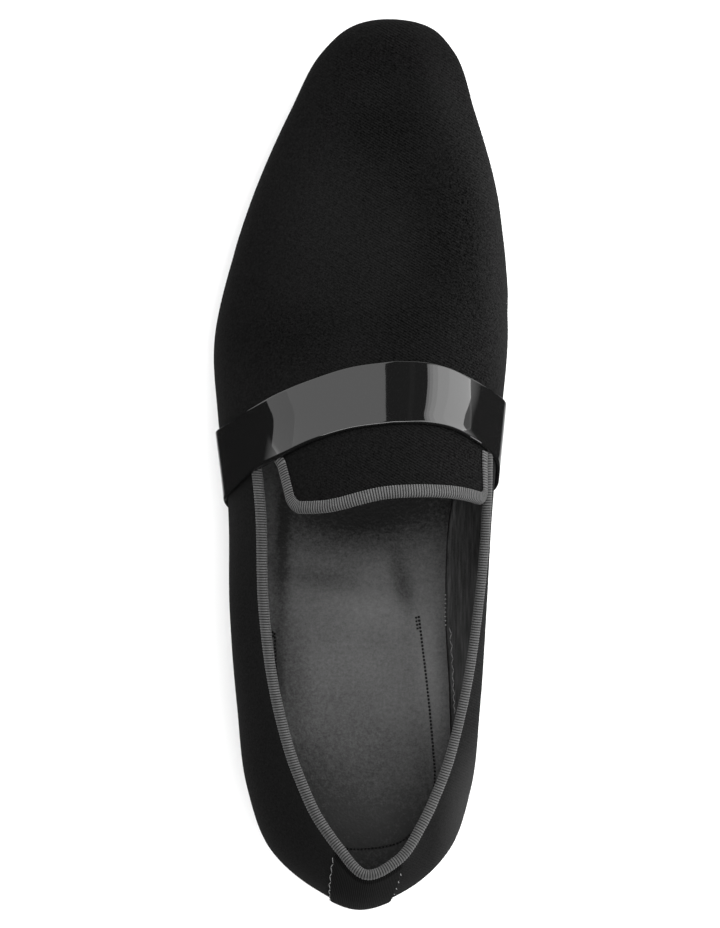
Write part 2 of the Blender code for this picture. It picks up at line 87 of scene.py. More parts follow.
# Crest of the instep, one row per rib: station, x, height over the sole, slope along the foot. Stations are shares of
# LENGTH, x and insets shares of half the ball width, heights shares of INSTEP_HEIGHT.
CREST = np.array([
    (0.1500, 0.140, 1.250, 0.00),
    (0.1500, 0.110, 1.250, 0.00),
    (0.1550, 0.080, 1.250, 0.00),
    (0.1800, 0.060, 1.250, 0.00),
    (0.2400, 0.084, 1.250, 0.00),
    (0.3333, 0.140, 1.250, 0.00),
    (0.4500, 0.200, 1.250, -0.35),
    (0.5500, 0.226, 1.117, -0.50),
    (0.6333, 0.240, 0.950, -0.50),
    (0.7100, 0.240, 0.775, -0.36),
    (0.7867, 0.230, 0.642, -0.26),
    (0.8417, 0.216, 0.560, -0.21),
    (0.8733, 0.204, 0.508, -0.20),
    (0.8867, 0.200, 0.4875, -0.20),
    (0.8917, 0.198, 0.480, -0.20),
])
# Both sides: station and x of the widest line, inset of the sole seam, height of the widest line, inset and height of
# the shoulder, lean of the wall there in degrees
OUTER_SIDE = np.array([
    (0.0000, -0.000, 0.060, 0.330, 0.262, 0.975, 24),
    (0.0200, -0.300, 0.054, 0.330, 0.350, 0.970, 27),
    (0.0650, -0.604, 0.066, 0.342, 0.408, 0.957, 30),
    (0.1333, -0.758, 0.090, 0.350, 0.368, 0.917, 30),
    (0.2233, -0.826, 0.110, 0.358, 0.280, 0.845, 28),
    (0.3333, -0.878, 0.130, 0.367, 0.236, 0.797, 27),
    (0.4500, -0.892, 0.110, 0.383, 0.228, 0.880, 33),
    (0.5500, -0.962, 0.060, 0.375, 0.230, 0.808, 40),
    (0.6333, -0.990, 0.036, 0.325, 0.195, 0.660, 45),
    (0.7167, -0.888, 0.030, 0.283, 0.130, 0.512, 45),
    (0.8067, -0.712, 0.028, 0.250, 0.098, 0.425, 45),
    (0.8967, -0.472, 0.026, 0.217, 0.074, 0.347, 45),
    (0.9633, -0.254, 0.024, 0.183, 0.056, 0.276, 45),
    (0.9883, -0.092, 0.022, 0.167, 0.046, 0.244, 45),
    (1.0000, 0.196, 0.022, 0.158, 0.044, 0.233, 45),
])
INNER_SIDE = np.array([
    (0.0000, 0.000, 0.060, 0.330, 0.262, 0.975, 24),
    (0.0200, 0.322, 0.054, 0.333, 0.246, 0.970, 23),
    (0.0650, 0.604, 0.070, 0.350, 0.274, 0.955, 22),
    (0.1333, 0.746, 0.110, 0.367, 0.212, 0.925, 17),
    (0.2233, 0.806, 0.160, 0.417, 0.118, 0.858, 11),
    (0.3333, 0.850, 0.230, 0.483, 0.052, 0.808, 7),
    (0.4500, 0.892, 0.230, 0.533, 0.036, 0.833, 14),
    (0.5500, 0.954, 0.120, 0.458, 0.100, 0.833, 28),
    (0.6333, 1.002, 0.056, 0.367, 0.165, 0.725, 40),
    (0.7167, 0.994, 0.036, 0.317, 0.146, 0.588, 45),
    (0.8067, 0.928, 0.030, 0.267, 0.112, 0.470, 45),
    (0.8967, 0.778, 0.026, 0.225, 0.078, 0.365, 45),
    (0.9633, 0.638, 0.024, 0.183, 0.056, 0.276, 45),
    (0.9883, 0.500, 0.022, 0.167, 0.046, 0.244, 45),
    (1.0000, 0.196, 0.022, 0.158, 0.044, 0.233, 45),
])


def smooth(place, value, at):
    """Reads a table between its rows: a cubic with the values and slopes of the two rows around each place. The slope
    at a row is the mean of the slopes on both sides, each weighted by the other's length."""
    place = np.asarray(place, float)
    value = np.asarray(value, float).reshape(len(place), -1)
    gap = np.diff(place)
    rise = np.diff(value, axis=0) / gap[:, None]
    inner = (rise[:-1] * gap[1:, None] + rise[1:] * gap[:-1, None]) / (gap[:-1] + gap[1:])[:, None]
    slope = np.vstack([rise[:1], inner, rise[-1:]])
    at = np.clip(np.asarray(at, float), place[0], place[-1])
    k = np.clip(np.searchsorted(place, at, side="right") - 1, 0, len(place) - 2)
    h = (place[k + 1] - place[k])[..., None]
    w = (at - place[k])[..., None] / h
    return (
        value[k] * (2 * w**3 - 3 * w**2 + 1)
        + value[k + 1] * (3 * w**2 - 2 * w**3)
        + slope[k] * h * (w**3 - 2 * w**2 + w)
        + slope[k + 1] * h * (w**3 - w**2)
    )


def sole_bottom(y):
    """Height of the underside of the sole: the heel lift and the toe spring, each times its share at that station."""
    station = np.clip(np.asarray(y, float) / LENGTH + 0.5, 0, 1)
    lift = smooth(SOLE_LIFT[:, 0], SOLE_LIFT[:, 1:], station)
    flat = (station >= BALL_FLAT[0]) & (station <= BALL_FLAT[1])
    return np.where(flat, 0.0, np.maximum(lift[..., 0] * HEEL_LIFT + lift[..., 1] * TOE_SPRING, 0.0))


def sole_top(y):
    """Height of the upper side of the sole: its underside plus its thickness."""
    return sole_bottom(y) + OUTSOLE_THICKNESS


def last_rows():
    """The rib tables in metres as one loop: 0 at the heel, 1 at the toe and 2 at the heel again."""
    sides = []
    for side in (OUTER_SIDE, INNER_SIDE):
        half, rise = BALL_WIDTH / 2, INSTEP_HEIGHT
        columns = [side[:, 1] * half, (side[:, 0] - 0.5) * LENGTH, side[:, 2] * half, side[:, 3] * rise]
        columns += [side[:, 4] * half, side[:, 5] * rise, np.radians(side[:, 6])]
        columns += [CREST[:, 1] * half, (CREST[:, 0] - 0.5) * LENGTH, CREST[:, 2] * rise, CREST[:, 3]]
        sides.append(np.stack(columns, 1))
    outer, inner = sides
    steps = [np.hypot(np.diff(rows[:, 0]), np.diff(rows[:, 1])) for rows in sides]
    place = np.concatenate([[0.0], np.cumsum(steps[0] + steps[1])])
    place = place / place[-1]
    extra = 3
    rows = np.vstack([inner[extra:0:-1], outer, inner[-2::-1], outer[1 : extra + 1]])
    places = np.concatenate([-place[extra:0:-1], place, 2 - place[-2::-1], 2 + place[1 : extra + 1]])
    return places, rows


LOOP_PLACES, LOOP_ROWS = last_rows()


def unit(vector):
    """The vector divided by its length."""
    return vector / np.linalg.norm(vector, axis=-1, keepdims=True)


def run_of(line):
    """The length run so far at each point of a line."""
    return np.concatenate([[0], np.cumsum(np.linalg.norm(np.diff(line, axis=0), axis=1))])


def between_points(at, run, values):
    """The row of a table at each length of run, on straight lines between its rows."""
    return np.stack([np.interp(at, run, column) for column in values.T], -1)


def bezier(a, a_way, b, b_way, w):
    """A cubic curve from a to b that leaves along a_way and arrives along b_way, with handles of 0.37 of its chord."""
    handle = 0.37 * np.linalg.norm(b - a, axis=-1, keepdims=True)
    first, second = a + a_way * handle, b - b_way * handle
    w = w[..., None]
    return a * (1 - w) ** 3 + 3 * first * w * (1 - w) ** 2 + 3 * second * w**2 * (1 - w) + b * w**3


def form(loop, up):
    """Points of the outside of the upper. loop is the place round the shoe (0 heel, 0 to 1 outer side, 1 toe, 1 to 2
    inner side), up the place on the rib: 0 sole seam, 1 widest line, 2 shoulder, 3 crest, with a cubic between each."""
    loop, up = np.broadcast_arrays(np.asarray(loop, float), np.asarray(up, float))
    row = smooth(LOOP_PLACES, LOOP_ROWS, np.mod(loop, 2))
    wide, crest = row[..., 0:2], row[..., 7:9]
    reach = np.linalg.norm(crest - wide, axis=-1, keepdims=True)
    way = (crest - wide) / reach
    zero, one = 0 * reach[..., 0], 1 + 0 * reach[..., 0]
    seam = np.stack([row[..., 2], sole_top(wide[..., 1] + row[..., 2] * way[..., 1]) + SEAT_GAP], -1)
    belly = np.stack([zero, sole_top(wide[..., 1]) + row[..., 3]], -1)
    shoulder = np.stack([row[..., 4], sole_top(wide[..., 1]) + row[..., 5]], -1)
    ridge = np.stack([reach[..., 0], sole_top(crest[..., 1]) + row[..., 9]], -1)
    out = unit(np.stack([-2 * row[..., 2], belly[..., 1] - seam[..., 1]], -1))
    rise = np.stack([zero, one], -1)
    lean = np.stack([np.sin(row[..., 6]), np.cos(row[..., 6])], -1)
    level = unit(np.stack([one, row[..., 10] * way[..., 1]], -1))
    low = bezier(seam, out, belly, rise, np.clip(up, 0, 1))
    side = bezier(belly, rise, shoulder, lean, np.clip(up - 1, 0, 1))
    top = bezier(shoulder, lean, ridge, level, np.clip(up - 2, 0, 1))
    rib = np.where((up < 1)[..., None], low, np.where((up < 2)[..., None], side, top))
    return np.concatenate([wide + rib[..., :1] * way, rib[..., 1:]], -1)


def outward(loop, up):
    """Unit normals of the form, pointing out of the shoe: the rise up the rib crossed with the way round the shoe."""
    loop, up = np.broadcast_arrays(np.asarray(loop, float), np.asarray(up, float))
    along = form(loop + 1e-4, up) - form(loop - 1e-4, up)
    rise = form(loop, np.minimum(up + 1e-3, 3)) - form(loop, np.maximum(up - 1e-3, 0))
    return unit(np.cross(rise, along))


def on_side(side, place):
    """Place in the loop of a rib of one side: side -1 is the outer side, 1 the inner side."""
    return place if side < 0 else 2 - place


def rib_at(station):
    """Place of the rib whose widest line is at this station on the outer side."""
    fine = np.linspace(0, 1, 4001)
    return np.interp(station, smooth(LOOP_PLACES, LOOP_ROWS, fine)[:, 1] / LENGTH + 0.5, fine)


def plate(places, inset, across):
    """x and y of points across the shoe, inset metres inside the sole seam: a straight line from the outer side
    (across 0) to the inner side (across 1) at each place. The three arguments are broadcast together."""
    ends = []
    for side in (-1, 1):
        row = smooth(LOOP_PLACES, LOOP_ROWS, on_side(side, places))
        way = unit(row[..., 7:9] - row[..., 0:2])
        ends.append(row[..., 0:2] + way * (row[..., 2] + inset)[..., None])
    share = (across + 0 * inset + 0 * places)[..., None]
    return ends[0] * (1 - share) + ends[1] * share


def round_ends(count):
    """Places from heel to toe, closer together at both ends, where the outline turns."""
    k = np.linspace(0, 1, count + 1)
    return k - 0.7 * np.sin(2 * np.pi * k) / (2 * np.pi)


# Heel
# Lifts of stacked leather, pressed and trimmed into one block with a hollow front, and a rubber top lift nailed under
# them. The sides are dyed black and waxed, and the joints of the lifts show as fine lines.
TOP_LIFT_THICKNESS = 0.006
HEEL_LENGTH = 0.082
HEEL_BREAST_HOLLOW = 0.003
HEEL_TAPER = 0.0016
SOLE_EDGE = 0.0009


class Value:
    """A number that varies over a surface. Arithmetic on it adds Math nodes to the tree of its finish."""

    def __init__(self, finish, socket):
        self.finish = finish
        self.socket = socket

    def maths(self, operation, *terms):
        return self.finish.node("ShaderNodeMath", {"operation": operation}, dict(enumerate(terms)))

    def __add__(self, other):
        return self.maths("ADD", self, other)

    def __sub__(self, other):
        return self.maths("SUBTRACT", self, other)

    def __mul__(self, other):
        return self.maths("MULTIPLY", self, other)

    __radd__, __rmul__ = __add__, __mul__

    def sine(self):
        return self.maths("SINE", self)

    def size(self):
        return self.maths("ABSOLUTE", self)

    def between(self, low, high):
        """0 below low, 1 above high, and a soft step between them."""
        inputs = {"Value": self, "From Min": low, "From Max": high, "To Min": 0.0, "To Max": 1.0}
        return self.finish.node("ShaderNodeMapRange", {"interpolation_type": "SMOOTHSTEP"}, inputs)


class Finish:
    """A material being made. What is the same all over goes straight onto the sockets of its Principled shader: its
    roughness, its specular level and more, by the names of the sockets."""

    def __init__(self, name, roughness, specular, more=()):
        self.material = bpy.data.materials.new(name)
        self.material.use_nodes = True
        self.tree = self.material.node_tree
        self.shader = self.tree.nodes["Principled BSDF"]
        for socket, value in {"Roughness": roughness, "Specular IOR Level": specular, **dict(more)}.items():
            self.shader.inputs[socket].default_value = value

    def node(self, kind, settings=None, inputs=None, output=0):
        """Adds a node: its settings first, then a value or a link for each socket. Gives one of its outputs."""
        made = self.tree.nodes.new(kind)
        for key, value in (settings or {}).items():
            setattr(made, key, value)
        for key, value in (inputs or {}).items():
            if isinstance(value, Value):
                self.tree.links.new(value.socket, made.inputs[key])
            else:
                made.inputs[key].default_value = value
        return Value(self, made.outputs[output])

    def place(self, scale=(1, 1, 1), turn=(0, 0, 0)):
        """Object coordinates, stretched and then turned."""
        where = self.node("ShaderNodeTexCoord", output="Object")
        return self.node("ShaderNodeMapping", {}, {"Vector": where, "Rotation": turn, "Scale": scale})

    def axis(self, name, where=None):
        """One coordinate of a place."""
        where = where or self.node("ShaderNodeTexCoord", output="Object")
        return self.node("ShaderNodeSeparateXYZ", {}, {0: where}, name)

    def noise(self, scale, detail=2.0, where=None, roughness=0.5):
        """Cloudy variation about 1/scale metres across, from 0 to 1."""
        where = where or self.place()
        inputs = {"Vector": where, "Scale": scale, "Detail": detail, "Roughness": roughness}
        return self.node("ShaderNodeTexNoise", {}, inputs)

    def patches(self, rows):
        """Soft patches added up. Each row: x, y, reach across, reach along, turn in degrees, strength in the middle."""
        total = 0.0
        for x, y, wide, long, turn, strength in rows:
            inputs = {"Vector": self.node("ShaderNodeTexCoord", output="Object"), "Location": (x, y, 0)}
            inputs.update({"Rotation": (0, 0, math.radians(turn)), "Scale": (wide, long, 1000)})
            where = self.node("ShaderNodeMapping", {"vector_type": "TEXTURE"}, inputs)
            far = self.node("ShaderNodeVectorMath", {"operation": "LENGTH"}, {0: where}, 1)
            total = total + strength * far.between(1.7, 0.0)
        return total

    def mix(self, factor, first, second):
        """One colour turning into another as the factor goes from 0 to 1."""
        return self.node("ShaderNodeMix", {"data_type": "RGBA"}, {0: factor, 6: first, 7: second}, 2)

    def lead(self, socket, value):
        """Links what varies over the surface to a socket of the shader."""
        self.tree.links.new(value.socket, self.shader.inputs[socket])

    def paint(self, factor, first, second):
        """Gives the surface a mix of two colours."""
        self.lead("Base Color", self.mix(factor, first, second))

    def bump(self, height, strength, distance):
        """Tips the normals by the slope of a height."""
        inputs = {"Height": height, "Strength": strength, "Distance": distance}
        self.lead("Normal", self.node("ShaderNodeBump", {}, inputs))


def grey(level, warm=0.0):
    """A near-neutral colour of this brightness."""
    return (level * (1 + warm), level, level * (1 - warm), 1.0)


def piece(name, grids, finish, runs=None, sharp=None):
    """An object from grids of points: each grid gives a quad between four neighbours, the points that coincide are
    joined, and the faces are turned outward. runs holds a pair of lengths for each point, kept as the UV map Run."""
    points = np.concatenate([grid.reshape(-1, 3) for grid in grids])
    faces, start = [], 0
    for grid in grids:
        rows, columns = grid.shape[:2]
        index = start + np.arange(rows * columns).reshape(rows, columns)
        corners = [index[:-1, :-1], index[:-1, 1:], index[1:, 1:], index[1:, :-1]]
        faces.append(np.stack(corners, -1).reshape(-1, 4))
        start += rows * columns
    faces = np.concatenate(faces)
    mesh = bpy.data.meshes.new(name)
    mesh.from_pydata(points, [], faces)
    if runs is not None:
        runs = np.concatenate([run.reshape(-1, 2) for run in runs])
        mesh.uv_layers.new(name="Run").data.foreach_set("uv", runs[faces.ravel()].ravel().astype(np.float32))
    welded = bmesh.new()
    welded.from_mesh(mesh)
    bmesh.ops.remove_doubles(welded, verts=welded.verts, dist=2e-6)
    bmesh.ops.dissolve_degenerate(welded, edges=welded.edges, dist=1e-7)
    bmesh.ops.recalc_face_normals(welded, faces=welded.faces)
    welded.to_mesh(mesh)
    welded.free()
    mesh.shade_smooth()
    if sharp:
        mesh.set_sharp_from_angle(angle=math.radians(sharp))
    mesh.materials.append(finish.material)
    thing = bpy.data.objects.new(name, mesh)
    bpy.context.scene.collection.objects.link(thing)
    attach(thing, "root")
    return thing


def block(name, places, inset, height, across, finish, sharp, hollow=0.0):
    """A body that follows the sole's outline: a stack of outlines at the insets, with a floor and a roof across the
    first and the last of them. height gives z from the plan and the level. hollow pulls the last places backward, and
    closes them with a front."""
    level = np.linspace(0, 1, len(inset))
    inset = np.asarray(inset, float)

    def points(places, inset, level, across):
        plan = plate(places, inset, across)
        pull = hollow * (1 - (2 * across - 1) ** 2) * (places / places.max()) ** 3
        plan[..., 1] -= pull
        return np.dstack([plan, height(plan, level + 0 * plan[..., 0], across + 0 * plan[..., 0])])

    here = places[:, None]
    grids = [points(here, inset[k], level[k], across[None, :]) for k in (0, -1)]
    grids += [points(here, inset[None, :], level[None, :], edge + 0.0 * inset[None, :]) for edge in (0, 1)]
    if hollow:
        grids.append(points(places[-1:, None], inset[:, None], level[:, None], across[None, :]))
    return piece(name, grids, finish, sharp=sharp)


heel_leather = Finish("heel_leather_waxed", 0.36, 0.3)
fibres = heel_leather.noise(90.0, 4.0, heel_leather.place((1, 1, 26)))
pores = heel_leather.noise(2600.0, 3.0)
heel_leather.paint(fibres.between(0.3, 0.75), grey(0.0035), grey(0.010, 0.06))
heel_leather.lead("Roughness", 0.30 + 0.22 * pores)
heel_leather.bump(fibres * 0.7 + pores * 0.3, 0.35, 0.00025)

heel_rubber = Finish("heel_rubber_matt", 0.8, 0.2)
grit = heel_rubber.noise(3200.0, 3.0)
scuff = heel_rubber.noise(140.0, 4.0, heel_rubber.place((1, 1, 5)))
heel_rubber.paint(scuff, grey(0.006), grey(0.013))
heel_rubber.lead("Roughness", 0.65 + 0.25 * grit)
heel_rubber.bump(grit, 0.3, 0.0002)

TOP_LIFT_ROUND = 0.0005
STACK_ROUND = 0.0002
LIFT_JOINTS = np.array([0.3, 0.65])
LIFT_JOINT_WIDTH = 0.018
LIFT_JOINT_DEPTH = 0.00016
heel_end = rib_at(HEEL_LENGTH / LENGTH)
k = np.linspace(0, 1, 61)
# Closer together at the back, where the outline turns
heel_places = heel_end * (k - 0.3 * np.sin(np.pi * k) / np.pi)
heel_across = np.linspace(0, 1, 33)
joint_share = TOP_LIFT_THICKNESS / HEEL_LIFT


def taper(share):
    """Inset of the heel's side at a share of its height: it narrows evenly toward the floor."""
    return -SOLE_EDGE + HEEL_TAPER * (1 - share)


def lift_height(plan, level, across):
    """The top lift's height: its level times its thickness, from the floor up to the joint."""
    return level * (TOP_LIFT_THICKNESS - SEAT_GAP)


def stack_height(plan, level, across):
    """The stack's height: its level of the way from the joint up to the underside of the sole."""
    high = sole_bottom(plan[..., 1]) - SEAT_GAP
    return TOP_LIFT_THICKNESS + level * (high - TOP_LIFT_THICKNESS)


def rounding(steps, depth, share):
    """Extra inset at both ends of a side: this depth at the end, gone as a square over this share of the height."""
    return depth * np.maximum(0, 1 - np.minimum(steps, 1 - steps) / share) ** 2


def heel_piece(name, inset, height, finish):
    """A block as long as the heel, with its hollow front."""
    return block(name, heel_places, inset, height, heel_across, finish, 40, HEEL_BREAST_HOLLOW)


steps = np.linspace(0, 1, 13)
insets = taper(steps * joint_share) + rounding(steps, TOP_LIFT_ROUND, 0.1)
top_lift = heel_piece("top_lift_rubber", insets, lift_height, heel_rubber)
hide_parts("top_lift")

steps = np.linspace(0, 1, 61)
joints = LIFT_JOINT_DEPTH * np.exp(-(((steps[:, None] - LIFT_JOINTS) / LIFT_JOINT_WIDTH) ** 2)).sum(1)
insets = taper(joint_share + steps * (1 - joint_share)) + rounding(steps, STACK_ROUND, 0.03) + joints
heel_block = heel_piece("heel_stack", insets, stack_height, heel_leather)
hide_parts("heel_block")

# Outsole
# One piece of firm leather from heel to toe, cemented under the lasted upper. Its edge is trimmed close to the upper,
# rounded a little, dyed black and burnished.
SOLE_ROUND_LOW = 0.0011
SOLE_ROUND_HIGH = 0.0006
sole_leather = Finish("sole_leather_black", 0.5, 0.25)
cloud = sole_leather.noise(38.0, 5.0, sole_leather.place((1, 0.5, 1)))
pores = sole_leather.noise(2200.0, 3.0)
sole_leather.paint(cloud.between(0.3, 0.7), grey(0.0045), grey(0.011, 0.05))
sole_leather.lead("Roughness", 0.38 + 0.2 * pores + 0.1 * cloud)
sole_leather.bump(pores * 0.5 + cloud * 0.5, 0.3, 0.0003)


def sole_height(plan, level, across):
    """The sole's height: its level times its thickness over the underside."""
    return sole_bottom(plan[..., 1]) + level * OUTSOLE_THICKNESS


turn = np.linspace(0, np.pi / 2, 7)
round_low = SOLE_ROUND_LOW * (1 - np.sin(turn))
round_high = SOLE_ROUND_HIGH * (1 - np.sin(turn[::-1]))
insets = -SOLE_EDGE + np.concatenate([round_low, np.zeros(5), round_high])
outsole = block(
    "outsole_leather", round_ends(150), insets, sole_height, np.linspace(0, 1, 41), sole_leather, sharp=50
)
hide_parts("outsole")

# Sock
# The footbed: a board under a soft padded sock of smooth grey leather, pressed down onto it and into the heel. It runs
# up a little against the lining, it is soft enough to wave, and a line of black stitches holds it round the heel.
UPPER_WALL = 0.0016
INSOLE_THICKNESS = 0.003
SOCK_RIM = 0.0009
SOCK_RIM_SHARE = 0.10
SOCK_ROUND = 0.0005


def waves(x, y, rows):
    """Soft rises and hollows added up: each a bell of its height round a point, with its own reach in each of two
    directions, turned. The rows: x, y, reach across, reach along, height, turn in degrees."""
    total = 0.0
    for at_x, at_y, wide, long, height, turned in rows:
        c, s = math.cos(math.radians(turned)), math.sin(math.radians(turned))
        u = ((x - at_x) * c + (y - at_y) * s) / wide
        v = ((y - at_y) * c - (x - at_x) * s) / long
        total = total + height * np.exp(-(u**2) - v**2)
    return total


# The hollow under the heel, and the soft waves of the sock
SOCK_WAVES = [
    (0.000, -0.112, 0.022, 0.030, -0.0008, 0),
    (0.010, -0.047, 0.013, 0.007, 0.0012, -35),
    (-0.010, -0.040, 0.014, 0.008, -0.0009, -20),
    (0.019, -0.036, 0.006, 0.012, -0.0008, 15),
    (-0.006, -0.060, 0.016, 0.008, 0.0009, -30),
    (0.013, -0.064, 0.007, 0.012, -0.0006, 20),
    (-0.018, -0.078, 0.008, 0.020, 0.0005, 0),
    (0.010, -0.104, 0.010, 0.018, 0.0004, -20),
    (-0.006, -0.118, 0.012, 0.010, -0.0003, 0),
    (0.000, -0.018, 0.020, 0.010, -0.0010, 10),
]


def sock_top(x, y):
    """Height of the sock inside its edge: the board's height with the sock's waves."""
    return sole_top(y) + SEAT_GAP + INSOLE_THICKNESS + waves(x, y, SOCK_WAVES)


def sock_height(plan, level, across):
    """The sock's height: flat on the board below, its waves above, with a rim that climbs against the lining."""
    low = sole_top(plan[..., 1]) + SEAT_GAP
    high = sock_top(plan[..., 0], plan[..., 1])
    return low + level * (high + rounding(across, SOCK_RIM, SOCK_RIM_SHARE) - low)


# Painted light and shade on the sock, over its waves, under the tongue and by the walls: x, y, reach across, reach
# along, turn in degrees, strength
SOCK_PAINTED_LIGHT_AND_SHADE = [
    (-0.0262, -0.0350, 0.0026, 0.0210, 0, -0.30),
    (-0.0120, -0.0405, 0.0120, 0.0038, -6, -0.20),
    (0.0142, -0.0415, 0.0030, 0.0100, 14, -0.26),
    (0.0060, -0.0370, 0.0080, 0.0060, 0, 0.14),
    (0.0225, -0.0440, 0.0045, 0.0120, 0, 0.12),
    (-0.0020, -0.0490, 0.0170, 0.0080, -10, 0.22),
    (0.0290, -0.0660, 0.0030, 0.0130, 0, -0.12),
    (0.0040, -0.0160, 0.0230, 0.0095, 0, -0.24),
    (0.0245, -0.0760, 0.0050, 0.0220, 4, 0.24),
    (-0.0285, -0.0740, 0.0026, 0.0140, 0, -0.20),
    (-0.0235, -0.0700, 0.0060, 0.0150, 8, -0.16),
]
sock_leather = Finish("sock_leather_grey", 0.5, 0.3)
cloud = sock_leather.noise(34.0, 4.0)
grain = sock_leather.noise(1500.0, 3.0, roughness=0.65)
speck = sock_leather.noise(700.0, 2.0)
cells = sock_leather.node("ShaderNodeTexVoronoi", {}, {"Vector": sock_leather.place(), "Scale": 1100.0})
# The sock is darker towards the heel; painted shadow lies under the tongue and painted shade beside the outer quarter.
heel_dark = sock_leather.axis("Y").between(-0.063, -0.126)
under_tongue_painted_shadow = sock_leather.axis("Y").between(-0.042, -0.016) * sock_leather.axis("X").between(-0.031, -0.025)
outer_side_painted_shade = sock_leather.axis("X").between(-0.024, -0.030) * sock_leather.axis("Y").between(-0.016, -0.034)
# The sock's colour: its own mottling and grain, with the painted light and shade of the patches and masks above.
shade = 0.39 + sock_leather.patches(SOCK_PAINTED_LIGHT_AND_SHADE) - 0.40 * heel_dark - 0.28 * under_tongue_painted_shadow - 0.17 * outer_side_painted_shade
shade = shade + 0.30 * (cloud - 0.5) + 0.55 * (grain - 0.5) + 0.34 * (speck - 0.5)
sock_leather.paint(shade, grey(0.004), grey(0.130))
sock_leather.lead("Roughness", 0.42 + 0.2 * grain)
sock_leather.bump(grain * 0.6 + cells * 0.6, 0.5, 0.0002)

turn = np.linspace(0, np.pi / 2, 6)
insets = UPPER_WALL + 0.00005 + np.concatenate([np.zeros(4), SOCK_ROUND * (1 - np.sin(turn[::-1]))])
across = 0.5 - 0.5 * np.cos(np.linspace(0, np.pi, 71))
sock = block("sock_leather", round_ends(170), insets, sock_height, across, sock_leather, sharp=60)
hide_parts("insole")


def bars(name, ends, up, radius, lift, finish):
    """Many short round threads in one mesh: each bends from its first end to its second over a low arch of this lift,
    as seven rings of six points that shrink to nothing at both ends."""
    along = ends[:, 1] - ends[:, 0]
    side = unit(np.cross(along, up))
    rise = unit(np.cross(side, along))
    share = np.array([0, 0.08, 0.25, 0.5, 0.75, 0.92, 1])
    wide = radius * np.array([0, 0.7, 0.95, 1, 0.95, 0.7, 0])
    angle = np.linspace(0, 2 * np.pi, 7)
    spine = ends[:, None, 0] + along[:, None] * share[None, :, None]
    spine = spine + rise[:, None] * (4 * lift * share * (1 - share))[None, :, None]
    ring = side[:, None, None] * (wide[:, None] * np.cos(angle))[None, :, :, None]
    ring = ring + rise[:, None, None] * (wide[:, None] * np.sin(angle))[None, :, :, None]
    return piece(name, list(spine[:, :, None] + ring), finish)


def along_path(path, pitch, fill):
    """First and last point of stitches of this pitch along a smooth path through the points; each fills this share of
    its pitch."""
    share = np.linspace(0, 1, len(path))
    fine = smooth(share, path, np.linspace(0, 1, 600))
    length = run_of(fine)
    start = np.arange(0, length[-1] - pitch, pitch)
    return between_points(np.stack([start, start + fill * pitch], 1), length, fine)


def thread_finish(name, tone, roughness, specular, twist):
    """Twisted thread of this brightness, with this many turns of its ply in a metre."""
    made = Finish(name, roughness, specular, {"Base Color": grey(tone)})
    made.bump(made.node("ShaderNodeTexWave", {}, {"Vector": made.place(), "Scale": twist}), 0.4, 0.0001)
    return made


black_thread = thread_finish("black_thread", 0.004, 0.7, 0.2, 900.0)
grey_thread = thread_finish("grey_thread", 0.22, 0.6, 0.3, 1200.0)
UPWARD = np.array([0.0, 0.0, 1.0])

# The line of stitches: from the doubled start on the inner side, round the heel, to the outer side
SOCK_LINE = np.array([
    (19.9, -52.6), (21.5, -65.7), (23.2, -80.6), (24.6, -95.9), (25.3, -109.0), (22.8, -119.5),
    (17.4, -126.3), (12.4, -129.7), (3.9, -131.4), (-4.6, -131.4), (-14.5, -128.5), (-21.5, -121.0),
    (-25.6, -108.0), (-27.4, -94.0), (-28.0, -80.6), (-28.5, -68.8), (-29.0, -57.6),
]) / 1000
STITCH_PITCH = 0.00122
# Both ends of the line are doubled over a few stitches.
DOUBLED_INNER = np.array([(19.0, -52.9), (19.4, -56.0), (19.7, -58.6)]) / 1000
DOUBLED_OUTER = np.array([(-29.6, -57.8), (-29.2, -61.0)]) / 1000
flat_ends = [along_path(SOCK_LINE, STITCH_PITCH, 0.74)]
flat_ends += [along_path(path, STITCH_PITCH, 0.6) for path in (DOUBLED_INNER, DOUBLED_OUTER)]
flat_ends = np.concatenate(flat_ends)
lying = np.dstack([flat_ends, sock_top(flat_ends[..., 0], flat_ends[..., 1]) + 0.00002])
sock_stitches = bars("sock_stitches", lying, UPWARD, 0.00041, 0.0001, black_thread)

# Ends of pale thread come up along the inner edge of the sock.
speck_places = np.linspace(0.3640, 0.3330, 8)
speck_ends = np.stack([plate(speck_places + step, UPPER_WALL + 0.0004, 1.0) for step in (0.0008, -0.0008)], 1)
speck_ends = np.dstack([speck_ends, sock_height(speck_ends, 1.0, 1.0) - 0.0001])
edge_specks = bars("sock_edge_threads", speck_ends, UPWARD, 0.00034, 0.0002, grey_thread)

# Upper
# Black velvet cut as a vamp with a tongue and two quarters, closed at the back of the heel, lasted and turned in under
# the edge of the sole. Its pile drinks the light, and only shows a soft sheen where it turns away.
TONGUE_EDGES = np.array([(0, 0, 0), (0.20, 0.090, 0.030), (0.50, 0.210, 0.062), (1.00, 0.290, 0.066)])
TONGUE_END = np.array([(-1.0, 0.4440), (-0.6, 0.4460), (0.0, 0.4620), (0.5, 0.4620), (1.0, 0.4520)])
TONGUE_CORNER_LONG = 0.16
TONGUE_CORNER_WIDE = 0.12
JOIN = rib_at(0.543)
VELVET_THICKNESS = 0.0009
TWILL_PITCH = 0.00085
MARGIN_TOP = 0.012
MARGIN_WIDTH = 0.002
